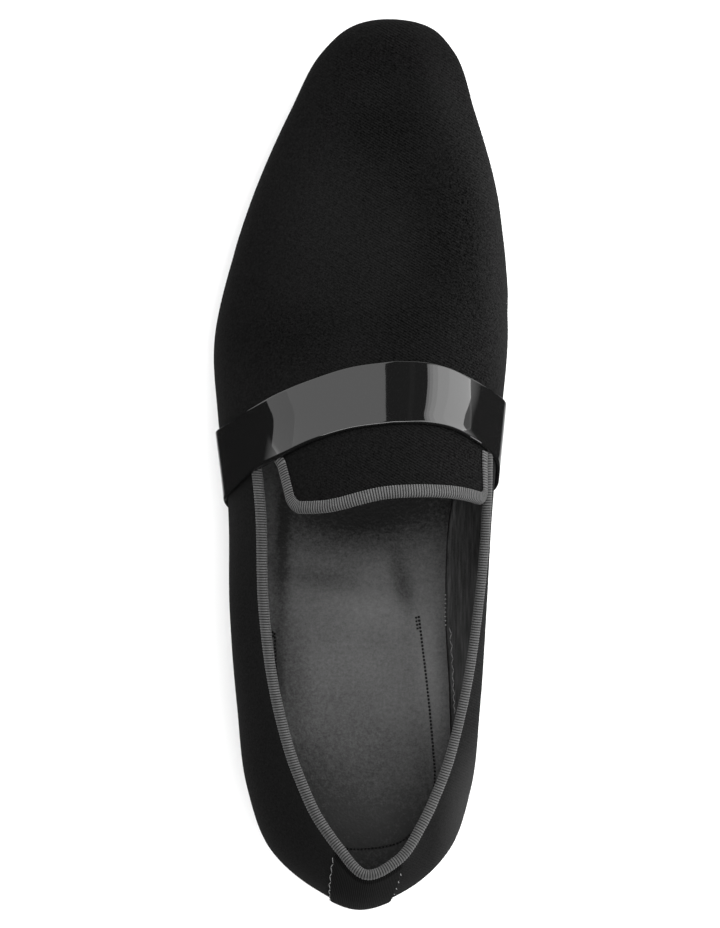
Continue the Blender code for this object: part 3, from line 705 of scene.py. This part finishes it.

# Where the pile lies lighter or darker, with painted sheen along the inner side and a painted highlight on the inner
# quarter at the heel: x, y, reach across, reach along, turn in degrees, strength
PILE_TONE_AND_PAINTED_SHEEN = [
    (0.008, 0.113, 0.013, 0.010, 20, -0.14),
    (0.023, 0.094, 0.010, 0.016, 20, -0.11),
    (0.028, 0.068, 0.010, 0.017, 0, -0.11),
    (-0.038, 0.056, 0.007, 0.022, -12, -0.04),
    (-0.024, 0.040, 0.020, 0.011, 10, -0.10),
    (0.015, 0.042, 0.013, 0.012, 0, -0.10),
    (-0.016, 0.084, 0.013, 0.028, -14, 0.16),
    (0.002, 0.074, 0.014, 0.018, 0, 0.10),
    (0.036, 0.112, 0.006, 0.034, 24, 0.20),
    (0.047, 0.062, 0.006, 0.046, 4, 0.40),
    (0.012, 0.138, 0.020, 0.010, 0, -0.12),
    (0.037, -0.114, 0.007, 0.022, -14, 1.50),
]
PILE_LOOK = 0.95, 0.0, {"Sheen Weight": 0.02, "Sheen Roughness": 0.45}
velvet = Finish("black_velvet_pile", *PILE_LOOK)
pile = velvet.noise(2000.0, 4.0, roughness=0.75)
tufts = velvet.noise(1200.0, 2.0)
brushed = velvet.noise(16.0, 3.0, velvet.place((1, 0.6, 1), (0, 0, 0.5)))
mottle = velvet.noise(30.0, 3.0)
run = velvet.axis("X") * 0.5 + velvet.axis("Y") * 0.866
twill = (run * (2 * math.pi / TWILL_PITCH)).sine()
shown = twill * mottle.between(0.30, 0.55) * velvet.axis("X").between(-0.03, 0.015)
# Painted sheen: the speckle of the pile is painted stronger along the inner side, where it catches the light.
pile_speckle_and_painted_sheen = 1.40 + 1.6 * velvet.axis("X").between(0.022, 0.046)
# The colour of the pile: its own patches, brushing, twill and speckle, with the painted sheen and highlight from the
# table above.
shade = 0.38 + velvet.patches(PILE_TONE_AND_PAINTED_SHEEN) + 0.25 * (brushed - 0.5) + 0.16 * shown
shade = shade + pile_speckle_and_painted_sheen * (pile - 0.5) + 0.5 * pile_speckle_and_painted_sheen * (tufts - 0.5)
velvet.paint(shade * 0.3, grey(0.0008), grey(0.0320))
velvet.bump(pile + shown * 0.15, 0.6, 0.0002)


def tongue_point(side, back, across):
    """Loop and rib place of a point of the tongue: back is 0 at the vamp and 1 at its end, across is 0 at the edge of
    this side and 1 at the crest."""
    edge = np.interp(back, TONGUE_EDGES[:, 0], TONGUE_EDGES[:, 1 if side < 0 else 2])
    up = 2 + edge + across * (1 - edge)
    end = smooth(TONGUE_END[:, 0], TONGUE_END[:, 1], side * (1 - across))[..., 0]
    return on_side(side, JOIN + back * (rib_at(end) - JOIN)), up


def upper_grids():
    """The outside of the upper on both sides: the vamp, the quarter up to the top line, the tongue with its rounded
    corner, and the margin turned in under the edge of the sole."""
    grids = []
    walls = np.concatenate([np.linspace(0, 1, 15), np.linspace(1, 2, 21)[1:]])
    tops = np.linspace(0, 1, 31) ** 1.15
    turned = np.linspace(0, math.pi / 2, 9)[1:]
    long, wide = TONGUE_CORNER_LONG, TONGUE_CORNER_WIDE
    rows = np.concatenate([np.linspace(0, 1 - long, 20), 1 - long + long * np.sin(turned)])
    trimmed = np.concatenate([np.zeros(20), wide * (1 - np.cos(turned))])
    for side in (-1, 1):
        vamp = JOIN + (1 - JOIN) * np.sin(np.linspace(0, math.pi / 2, 96)) ** 1.25
        quarter = JOIN * np.linspace(0, 1, 90) ** 1.3
        grids.append(form(on_side(side, vamp)[:, None], np.concatenate([walls, 2 + tops[1:]])[None, :]))
        grids.append(form(on_side(side, quarter)[:, None], walls[None, :]))
        across = trimmed[:, None] + (1 - trimmed[:, None]) * tops[None, :]
        grids.append(form(*tongue_point(side, np.broadcast_to(rows[:, None], across.shape), across)))
        for loop in (vamp, quarter):
            seam = form(on_side(side, loop), 0.0)
            row = smooth(LOOP_PLACES, LOOP_ROWS, np.mod(on_side(side, loop), 2))
            way = unit(row[:, 7:9] - row[:, 0:2])
            under = seam + np.column_stack([way * MARGIN_WIDTH, 0 * loop - 0.0002])
            grids.append(np.stack([seam, under], 1))
    return grids


def shift(thing, depth, relief=None):
    """Moves each point along its normal: inward by the depth, outward by a relief worked out from its place."""
    mesh = thing.data
    points = np.array([vertex.co for vertex in mesh.vertices])
    normals = np.array([normal.vector for normal in mesh.vertex_normals])
    move = -depth + (relief(points) if relief else 0)
    mesh.vertices.foreach_set("co", (points + normals * np.reshape(move, (-1, 1))).ravel())
    mesh.update()


def wall(thing, thickness):
    """Gives a sheet its thickness, inward."""
    solid = thing.modifiers.new("Wall", "SOLIDIFY")
    solid.thickness = thickness
    solid.offset = -1
    solid.use_even_offset = False
    solid.use_rim = True


# Creases and soft dents of the vamp
VAMP_CREASES = [
    (0.020, 0.046, 0.030, 0.0040, -0.0005, 8),
    (0.020, 0.054, 0.028, 0.0050, 0.0004, 8),
    (-0.016, 0.062, 0.024, 0.0045, -0.0004, -12),
    (0.030, 0.074, 0.018, 0.0060, -0.0004, 14),
    (0.002, 0.090, 0.026, 0.0090, 0.0003, 4),
]


def vamp_relief(points):
    """Soft troughs and ridges across the vamp, where the foot bends it, but none in the turned-in margin."""
    return waves(points[:, 0], points[:, 1], VAMP_CREASES) * (points[:, 2] > MARGIN_TOP)


upper = piece("velvet_upper", upper_grids(), velvet)
shift(upper, 0.0, vamp_relief)
wall(upper, VELVET_THICKNESS)
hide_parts("upper")

# Lining
# Thin dark leather cemented inside the velvet, smooth side in, brushed along the quarters. It ends with the velvet
# inside the bindings.
LINING_GAP = 0.00005
lining_leather = Finish("lining_leather_dark", 0.6, 0.35)
brushed = lining_leather.noise(240.0, 4.0, lining_leather.place((6, 0.35, 1)))
grain = lining_leather.noise(1800.0, 3.0)
tone = lining_leather.mix(brushed.between(0.35, 0.8), grey(0.024), grey(0.095))
lining_leather.paint(grain.between(0.3, 0.9), tone, grey(0.062))
lining_leather.lead("Roughness", 0.5 + 0.25 * grain)
lining_leather.bump(brushed * 0.5 + grain * 0.6, 0.4, 0.00025)

lining = piece("lining_leather", upper_grids(), lining_leather)
shift(lining, VELVET_THICKNESS + LINING_GAP)
wall(lining, UPPER_WALL - VELVET_THICKNESS - LINING_GAP)
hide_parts("upper")

# Low on the inner side of the lining runs a zigzag seam.
seam_share = np.linspace(0, 1, 17)
seam_place = -smooth([0, 0.35, 0.75, 1], [0.3300, 0.2950, 0.2575, 0.2412], seam_share)[..., 0]
seam_up = smooth([0, 0.35, 0.75, 1], [0.045, 0.062, 0.070, 0.088], seam_share)[..., 0]
seam_up = seam_up + np.where(np.arange(17) % 2, 0.018, -0.018)
away = outward(seam_place, seam_up)
seam = form(seam_place, seam_up) - away * (UPPER_WALL + 0.0002)
lining_seam = bars("lining_seam", np.stack([seam[:-1], seam[1:]], 1), -away[:-1], 0.00016, 0.0001, grey_thread)

# Back strip
# A strip of ribbed velvet over the seam at the back of the heel, wider upward, with its end under the binding. A
# zigzag of grey thread holds it, plain to see on the outer edge and half hidden in the pile on the inner one.
BACK_STRIP_HALF_WIDTH = 0.0136
BACK_STRIP_GAP = 0.0003
BACK_STRIP_THICKNESS = 0.0007
BACK_STRIP_EDGE = 0.0006
STRIP_CORD_PITCH = 0.00062

strip_velvet = Finish("strip_velvet_ribbed", *PILE_LOOK)
where = strip_velvet.node("ShaderNodeUVMap", {"uv_map": "Run"})
pile = strip_velvet.noise(1500.0, 4.0)
cord = (strip_velvet.axis("X", where) * (2 * math.pi / STRIP_CORD_PITCH)).sine()
# Painted shade between the cords: the colour darkens in the grooves and lightens on the cords.
strip_velvet.paint(cord.between(-0.4, 1.0) * (0.4 + 0.6 * pile), grey(0.0008), grey(0.0085))
strip_velvet.bump(cord * 0.5 + pile, 0.6, 0.0002)


def strip_place(height, across):
    """Loop place on the upper, at this height on the rib and this far round from the back seam, in metres."""
    fine = np.linspace(-0.1, 0.1, 401)
    line = form(fine, height)
    length = run_of(line)
    return np.interp(across, length - np.interp(0.0, fine, length), fine)


def strip_half(height):
    """Half width of the strip: from its foot in the sole seam, past the widest line, to its top."""
    return BACK_STRIP_HALF_WIDTH * smooth([0.06, 1.0, 1.91, 2.0], [0.69, 0.735, 1.0, 1.03], height)[..., 0]


heights = np.concatenate([np.linspace(0.06, 1, 14), np.linspace(1, 1.965, 30)[1:]])
across = np.sin(np.linspace(-np.pi / 2, np.pi / 2, 41))
halves = strip_half(heights)
loops = np.array([strip_place(height, across * half) for height, half in zip(heights, halves)])
on_form = form(loops, heights[:, None])
away = outward(loops, heights[:, None])
edge_round = np.sqrt(np.clip((1 - abs(across)) * BACK_STRIP_HALF_WIDTH / BACK_STRIP_EDGE, 0, 1))[None, :, None]
thin = 1 - 0.9 * np.clip((heights - 1.90) / 0.025, 0, 1)[:, None, None]
inside = on_form + away * BACK_STRIP_GAP * thin
outside = on_form + away * (BACK_STRIP_GAP + BACK_STRIP_THICKNESS * edge_round) * thin
caps = [np.stack([inside[row], outside[row]]) for row in (0, -1)]
flat = np.dstack(np.broadcast_arrays(across[None, :] * halves[:, None], heights[:, None]))
runs = [flat, flat] + [np.stack([flat[row], flat[row]]) for row in (0, -1)]
back_strip = piece("back_strip_velvet", [inside, outside] + caps, strip_velvet, runs)
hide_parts("back_strip")


def zigzag(height, side):
    """Stitches of a zigzag along one edge of the strip, as the two ends of each and its way out: the points swing to
    and fro over the edge, half a millimetre in and a third of one out."""
    swing = np.where(np.arange(len(height)) % 2, 0.0005, -0.0003)
    loop = np.array([float(strip_place(h, side * (strip_half(h) - s))) for h, s in zip(height, swing)])
    away = outward(loop, height)
    line = form(loop, height) + away * 0.00075
    return np.stack([line[:-1], line[1:]], 1), away[:-1]


outer_ends, outer_away = zigzag(np.linspace(0.75, 1.86, 19), 1)
# Along the inner edge the pile covers every other stitch.
inner_ends, inner_away = zigzag(np.linspace(0.75, 1.86, 19), -1)
ends, away = np.concatenate([outer_ends, inner_ends[::2]]), np.concatenate([outer_away, inner_away[::2]])
strip_stitches = bars("back_strip_stitches", ends, away, 0.00014, 0.0001, grey_thread)

# Bindings
# Grey grosgrain tape folded over the top line and over the edge of the tongue, and stitched through. The weft cords
# run across the tape as fine ribs, a little under a millimetre apart.
TAPE_THICKNESS = 0.0005
TAPE_GAP = 0.0003
RIB_PITCH = 0.00088
RIB_DEPTH = 0.00016
WARP_PITCH = 0.0003
COLLAR_LEAF = 0.0026
TONGUE_LEAF = 0.0032


def grosgrain_finish(name, tone):
    """Ribbed tape of this brightness: painted shade between the cords, fine ribs along the tape from its warp threads.
    """
    made = Finish(name, 0.75, 0.3, {"Sheen Weight": 0.08})
    where = made.node("ShaderNodeUVMap", {"uv_map": "Run"})
    cord = (made.axis("X", where) * (math.pi / RIB_PITCH)).sine().size()
    warp = (made.axis("Y", where) * (2 * math.pi / WARP_PITCH)).sine()
    wear = made.noise(420.0, 3.0)
    # The cords are painted lit and the grooves between them painted in shade.
    lit = cord.between(0.38, 0.98) * (0.86 + 0.14 * warp) * (0.65 + 0.7 * wear)
    made.paint(lit, grey(0.003), grey(tone))
    made.bump(warp * 0.3 + wear * 0.4, 0.35, 0.0001)
    return made


def tape_ring(leaf):
    """Section of a tape folded over an edge: how far along the leather and how far off its face each point lies, how
    far the ribs stand out there, and the length run so far. A half circle joins the two leaves."""
    reach = UPPER_WALL / 2 + TAPE_GAP + TAPE_THICKNESS
    turn = np.linspace(0, np.pi, 15)
    fold_along = -UPPER_WALL / 2 + reach * np.sin(turn)
    fold_off = -UPPER_WALL / 2 + reach * np.cos(turn)
    legs = np.linspace(-leaf, -UPPER_WALL / 2, 7)[:-1]
    press = 0.00022 * (1 - (legs + leaf) / (leaf - UPPER_WALL / 2)) ** 2
    top = TAPE_GAP + TAPE_THICKNESS - press
    along = np.concatenate([[-leaf - 0.0001], legs, fold_along, legs[::-1], [-leaf - 0.0001]])
    off = np.concatenate([[TAPE_GAP * 0.5], top, fold_off, -UPPER_WALL - top[::-1], [-UPPER_WALL - TAPE_GAP * 0.5]])
    inner = np.array([(-leaf, -UPPER_WALL - 0.0001), (0.0002, -UPPER_WALL - 0.0001), (0.0002, 0.0001), (-leaf, 0.0001)])
    stand = np.concatenate([[0.3], np.ones(len(along) - 2), [0.3], np.zeros(5)])
    along = np.concatenate([along, inner[:, 0], along[:1]])
    off = np.concatenate([off, inner[:, 1], off[:1]])
    run = np.concatenate([[0], np.cumsum(np.hypot(np.diff(along), np.diff(off)))])
    return along, off, stand, run


def binding(name, path, leaf, finish):
    """A folded tape along an edge. path gives for each place along it the edge point, the way out of the leather in
    its own surface, and the leather's normal; the ribs are a wave along the tape, narrow between the cords."""
    length = run_of(path[0])
    ribs = int(length[-1] / RIB_PITCH)
    phase = (np.arange(ribs)[:, None] + np.array([0, 0.13, 0.31, 0.5, 0.69, 0.87])[None, :]).ravel()
    phase = np.append(phase, ribs)
    edge, rim_way, away = (between_points(phase * length[-1] / ribs, length, values) for values in path)
    rim_way, away = unit(rim_way), unit(away)
    along, off, stand, run = tape_ring(leaf)
    middle = np.array([-leaf * 0.5, -UPPER_WALL / 2])
    spread = unit(np.stack([along - middle[0], off - middle[1]], -1) * np.array([0.5, 1.0]))
    height = (np.abs(np.sin(np.pi * phase)) ** 0.6 - 1)[:, None] * RIB_DEPTH * stand[None, :]
    a = along[None, :] + spread[None, :, 0] * height
    b = off[None, :] + spread[None, :, 1] * height
    rings = edge[:, None] + a[..., None] * rim_way[:, None] + b[..., None] * away[:, None]
    flat = np.dstack([np.broadcast_to(phase[:, None] * RIB_PITCH, a.shape), np.broadcast_to(run[None, :], a.shape)])
    grids, runs = [rings], [flat]
    for end in (0, -1):
        # Each end is closed toward the middle of the section.
        centre = edge[end] + middle[0] * rim_way[end] + middle[1] * away[end]
        grids.append(np.stack([rings[end], np.broadcast_to(centre, rings[end].shape)]))
        runs.append(np.stack([flat[end], flat[end]]))
    return piece(name, grids, finish, runs)


# Edges of the strap: place on the rib, then the stations of its back and front edge on the outer and the inner side
STRAP_EDGES = np.array([
    (0.00, 0.4367, 0.5200, 0.4467, 0.5400),
    (0.50, 0.4450, 0.5267, 0.4600, 0.5500),
    (1.00, 0.4545, 0.5335, 0.4740, 0.5640),
    (1.50, 0.4665, 0.5400, 0.4940, 0.5700),
    (2.00, 0.4890, 0.5565, 0.5085, 0.5800),
    (2.25, 0.5030, 0.5740, 0.5210, 0.5915),
    (2.50, 0.5205, 0.5895, 0.5340, 0.6025),
    (2.75, 0.5335, 0.6030, 0.5395, 0.6085),
    (3.00, 0.5397, 0.6095, 0.5397, 0.6095),
])
TAPE_UNDER_STRAP = 0.0016
# Its row for the shoulder, where the top line runs
outer_back, inner_back = STRAP_EDGES[4, 1], STRAP_EDGES[4, 3]
outer_end = rib_at(outer_back + TAPE_UNDER_STRAP / LENGTH)
inner_end = rib_at(inner_back + TAPE_UNDER_STRAP / LENGTH)
loop = np.concatenate([np.linspace(outer_end, 0, 1200)[:-1], -np.linspace(0, inner_end, 1200)])
edge = form(loop, 2.0)
collar_path = edge, unit(edge - form(loop, 1.98)), outward(loop, 1.995)
collar_binding = binding("collar_tape", collar_path, COLLAR_LEAF, grosgrain_finish("grosgrain_collar", 0.067))
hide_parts("collar_binding")

turn = np.linspace(0, math.pi / 2, 60)[1:]
halves = []
for side, start in ((-1, 0.43), (1, 0.38)):
    back = np.linspace(start, 1 - TONGUE_CORNER_LONG, 120)
    rest = np.linspace(TONGUE_CORNER_WIDE, 1, 200)[1:]
    backs = np.concatenate([back, 1 - TONGUE_CORNER_LONG * (1 - np.sin(turn)), 0 * rest + 1])
    places = np.concatenate([0 * back, TONGUE_CORNER_WIDE * (1 - np.cos(turn)), rest])
    halves.append(tongue_point(side, backs, places))
loop = np.concatenate([halves[0][0], halves[1][0][-2::-1]])
up = np.concatenate([halves[0][1], halves[1][1][-2::-1]])
edge, away = form(loop, up), outward(loop, up)
tongue_path = edge, unit(np.cross(np.gradient(edge, axis=0), away)), away
tongue_binding = binding("tongue_tape", tongue_path, TONGUE_LEAF, grosgrain_finish("grosgrain_tongue", 0.080))
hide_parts("tongue_binding")

# Strap
# A band of black patent leather over the vamp, its edges turned under, caught between the upper and the sole on both
# sides. Its lacquer mirrors the lights.
STRAP_THICKNESS = 0.0011
STRAP_GAP = 0.0003
STRAP_EDGE = 0.0008
# How far the lip of the back edge reaches and how high it stands off, on the outer and the inner side
STRAP_LIP = {-1: (0.0150, 0.00100), 1: (0.0035, 0.00035)}

lacquer = {"Base Color": grey(0.0045), "Coat Weight": 0.15, "Coat Roughness": 0.02}
patent = Finish("patent_leather_black", 0.03, 0.5, lacquer)
patent.lead("Roughness", 0.02 + 0.03 * patent.noise(40.0, 2.0))
patent.bump(patent.noise(70.0, 2.0), 0.04, 0.0005)


def strap_loop(side, up, share):
    """Loop place of a point of the strap: share is 0 at its back edge and 1 at its front edge."""
    column = 1 if side < 0 else 3
    edges = smooth(STRAP_EDGES[:, 0], STRAP_EDGES[:, column : column + 2], up)
    return on_side(side, rib_at(edges[..., 0] * (1 - share) + edges[..., 1] * share))


climb = np.concatenate([np.linspace(0.04, 1, 30), np.linspace(1, 2, 34)[1:], np.linspace(2, 3, 60)[1:]])
share = 0.5 - 0.5 * np.cos(np.linspace(0, np.pi, 61))
share = 0.6 * share + 0.4 * np.linspace(0, 1, 61)
below, above = [], []
for side in (-1, 1):
    up = climb if side < 0 else climb[-2::-1]
    loop = strap_loop(side, up[:, None], share[None, :])
    on_form, away = form(loop, up[:, None]), outward(loop, up[:, None])
    width = np.linalg.norm(on_form[:, -1] - on_form[:, 0], axis=-1)[:, None]
    from_edge = np.minimum(share, 1 - share)[None, :] * width
    swell = np.sqrt(1 - (1 - np.clip(from_edge / STRAP_EDGE, 0, 1)) ** 2)
    # Beside the instep the back edge stands off a little, farther on the outer side.
    reach, high = STRAP_LIP[side]
    beside = np.cos(np.pi / 2 * np.clip(abs(up - 2.1) / 0.85, 0, 1))[:, None] ** 2
    lip = high * beside * (1 - np.clip(share[None, :] * width / reach, 0, 1)) ** 2.4
    below.append(on_form + away * STRAP_GAP)
    above.append(on_form + away * (STRAP_GAP + (STRAP_THICKNESS + lip) * swell)[..., None])
below, above = np.vstack(below), np.vstack(above)
caps = [np.stack([below[row], above[row]]) for row in (0, -1)]
strap = piece("patent_strap", [below, above] + caps, patent)
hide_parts("strap")

# Floor, light and camera
# A pale table in a bright room, soft boxes upright round the toe from the outer to the inner side, one low behind the
# inner side and one overhead, and the camera straight above.
CAMERA_HEIGHT = 2.212
CAMERA_Y = -0.0011

floor_paint = Finish("floor_pale", 0.9, 0.0, {"Base Color": grey(0.97)})
floor_paint.bump(floor_paint.noise(180.0, 3.0), 0.02, 0.0003)
mesh = bpy.data.meshes.new("floor")
mesh.from_pydata([(-6, -6, -0.0002), (6, -6, -0.0002), (6, 6, -0.0002), (-6, 6, -0.0002)], [], [(0, 1, 2, 3)])
mesh.materials.append(floor_paint.material)
floor = bpy.data.objects.new("floor", mesh)
bpy.context.scene.collection.objects.link(floor)
floor.visible_glossy = False
floor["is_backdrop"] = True


def soft_box(name, place, facing, width, height, radiance):
    """A rectangular light of this radiance at a place, turned to face a point."""
    data = bpy.data.lights.new(name, "AREA")
    data.shape = "RECTANGLE"
    data.size, data.size_y = width, height
    data.energy = radiance * math.pi * width * height
    light = bpy.data.objects.new(name, data)
    bpy.context.scene.collection.objects.link(light)
    light.location = place
    way = Vector(facing) - Vector(place)
    light.rotation_euler = way.to_track_quat("-Z", "Y").to_euler()
    light.visible_camera = False


INSTEP_Y = 0.02


def upright_box(name, first, last, radiance, distance=1.3, low=0.04, high=3.2):
    """A soft box that stands upright round the instep, from the first to the last bearing, in degrees from the toe
    towards the inner side, and from one height to another."""
    middle, half = math.radians((first + last) / 2), math.radians(abs(last - first) / 2)
    x, y, z = distance * math.sin(middle), INSTEP_Y + distance * math.cos(middle), (low + high) / 2
    soft_box(name, (x, y, z), (0, INSTEP_Y, z), 2 * distance * math.tan(half), high - low, radiance)


upright_box("soft_box_outer_side", -64.5, -50.0, 1.5)
upright_box("soft_box_outer", -50.0, -1.7, 1.8)
upright_box("soft_box_slit", 12.0, 16.0, 0.05)
# The inner one grows brighter over its first degrees: five boxes, one behind the other, whose light adds up.
for count, (first, radiance) in enumerate([(26.5, 2.4), (28.5, 0.8), (31.0, 0.7), (35.0, 0.7), (44.0, 0.4)]):
    upright_box(f"soft_box_inner_{count}", first, 61.5, radiance, distance=1.3 + 0.005 * count)
upright_box("soft_box_inner_side", 61.5, 95.0, 0.9)
upright_box("soft_box_side", 100.0, 135.0, 5.0, low=0.10, high=0.70)
soft_box("soft_box_overhead", (0.1, -0.2, 2.7), (0, 0, 0), 1.4, 1.4, 6.0)

world = bpy.data.worlds.new("room")
bpy.context.scene.world = world
world.use_nodes = True


class Room(Finish):
    """The light of a world, made of the same nodes."""

    def __init__(self, world):
        self.tree = world.node_tree
        self.shader = self.tree.nodes["Background"]
        self.shader.inputs["Color"].default_value = (1, 1, 1, 1)

    def by_way(self, axis, first, last, low, high):
        """A brightness that goes from low to high as one coordinate of the way goes from first to last."""
        where = self.axis(axis, self.node("ShaderNodeTexCoord", output="Generated"))
        inputs = {"Value": where, "From Min": first, "From Max": last, "To Min": low, "To Max": high}
        return self.node("ShaderNodeMapRange", {}, inputs)


# The room is brighter on the inner side. Mirrored in the patent leather it is dark, but for the floor before the toe
# and under the shoe.
room = Room(world)
mirrored = room.by_way("Z", 0.03, -0.03, 0.0, 1.5) * room.by_way("Y", 0.38, 0.52, 0.0, 1.0)
mirrored = mirrored + room.by_way("Z", -0.93, -0.99, 0.02, 0.7)
glossy = room.node("ShaderNodeLightPath", output="Is Glossy Ray")
straight = room.by_way("X", -1.0, 1.0, 0.35, 1.65)
room.lead("Strength", room.node("ShaderNodeMix", {}, {0: glossy, 2: straight, 3: mirrored}))

camera_data = bpy.data.cameras.new("camera")
camera_data.lens = 250
camera_data.sensor_width = 36
camera_data.clip_start = 0.1
camera_data.clip_end = 60
camera = bpy.data.objects.new("camera", camera_data)
bpy.context.scene.collection.objects.link(camera)
camera.location = (0.0, CAMERA_Y, CAMERA_HEIGHT)
bpy.context.scene.camera = camera
bpy.context.scene.view_settings.view_transform = "Standard"

low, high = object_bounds()
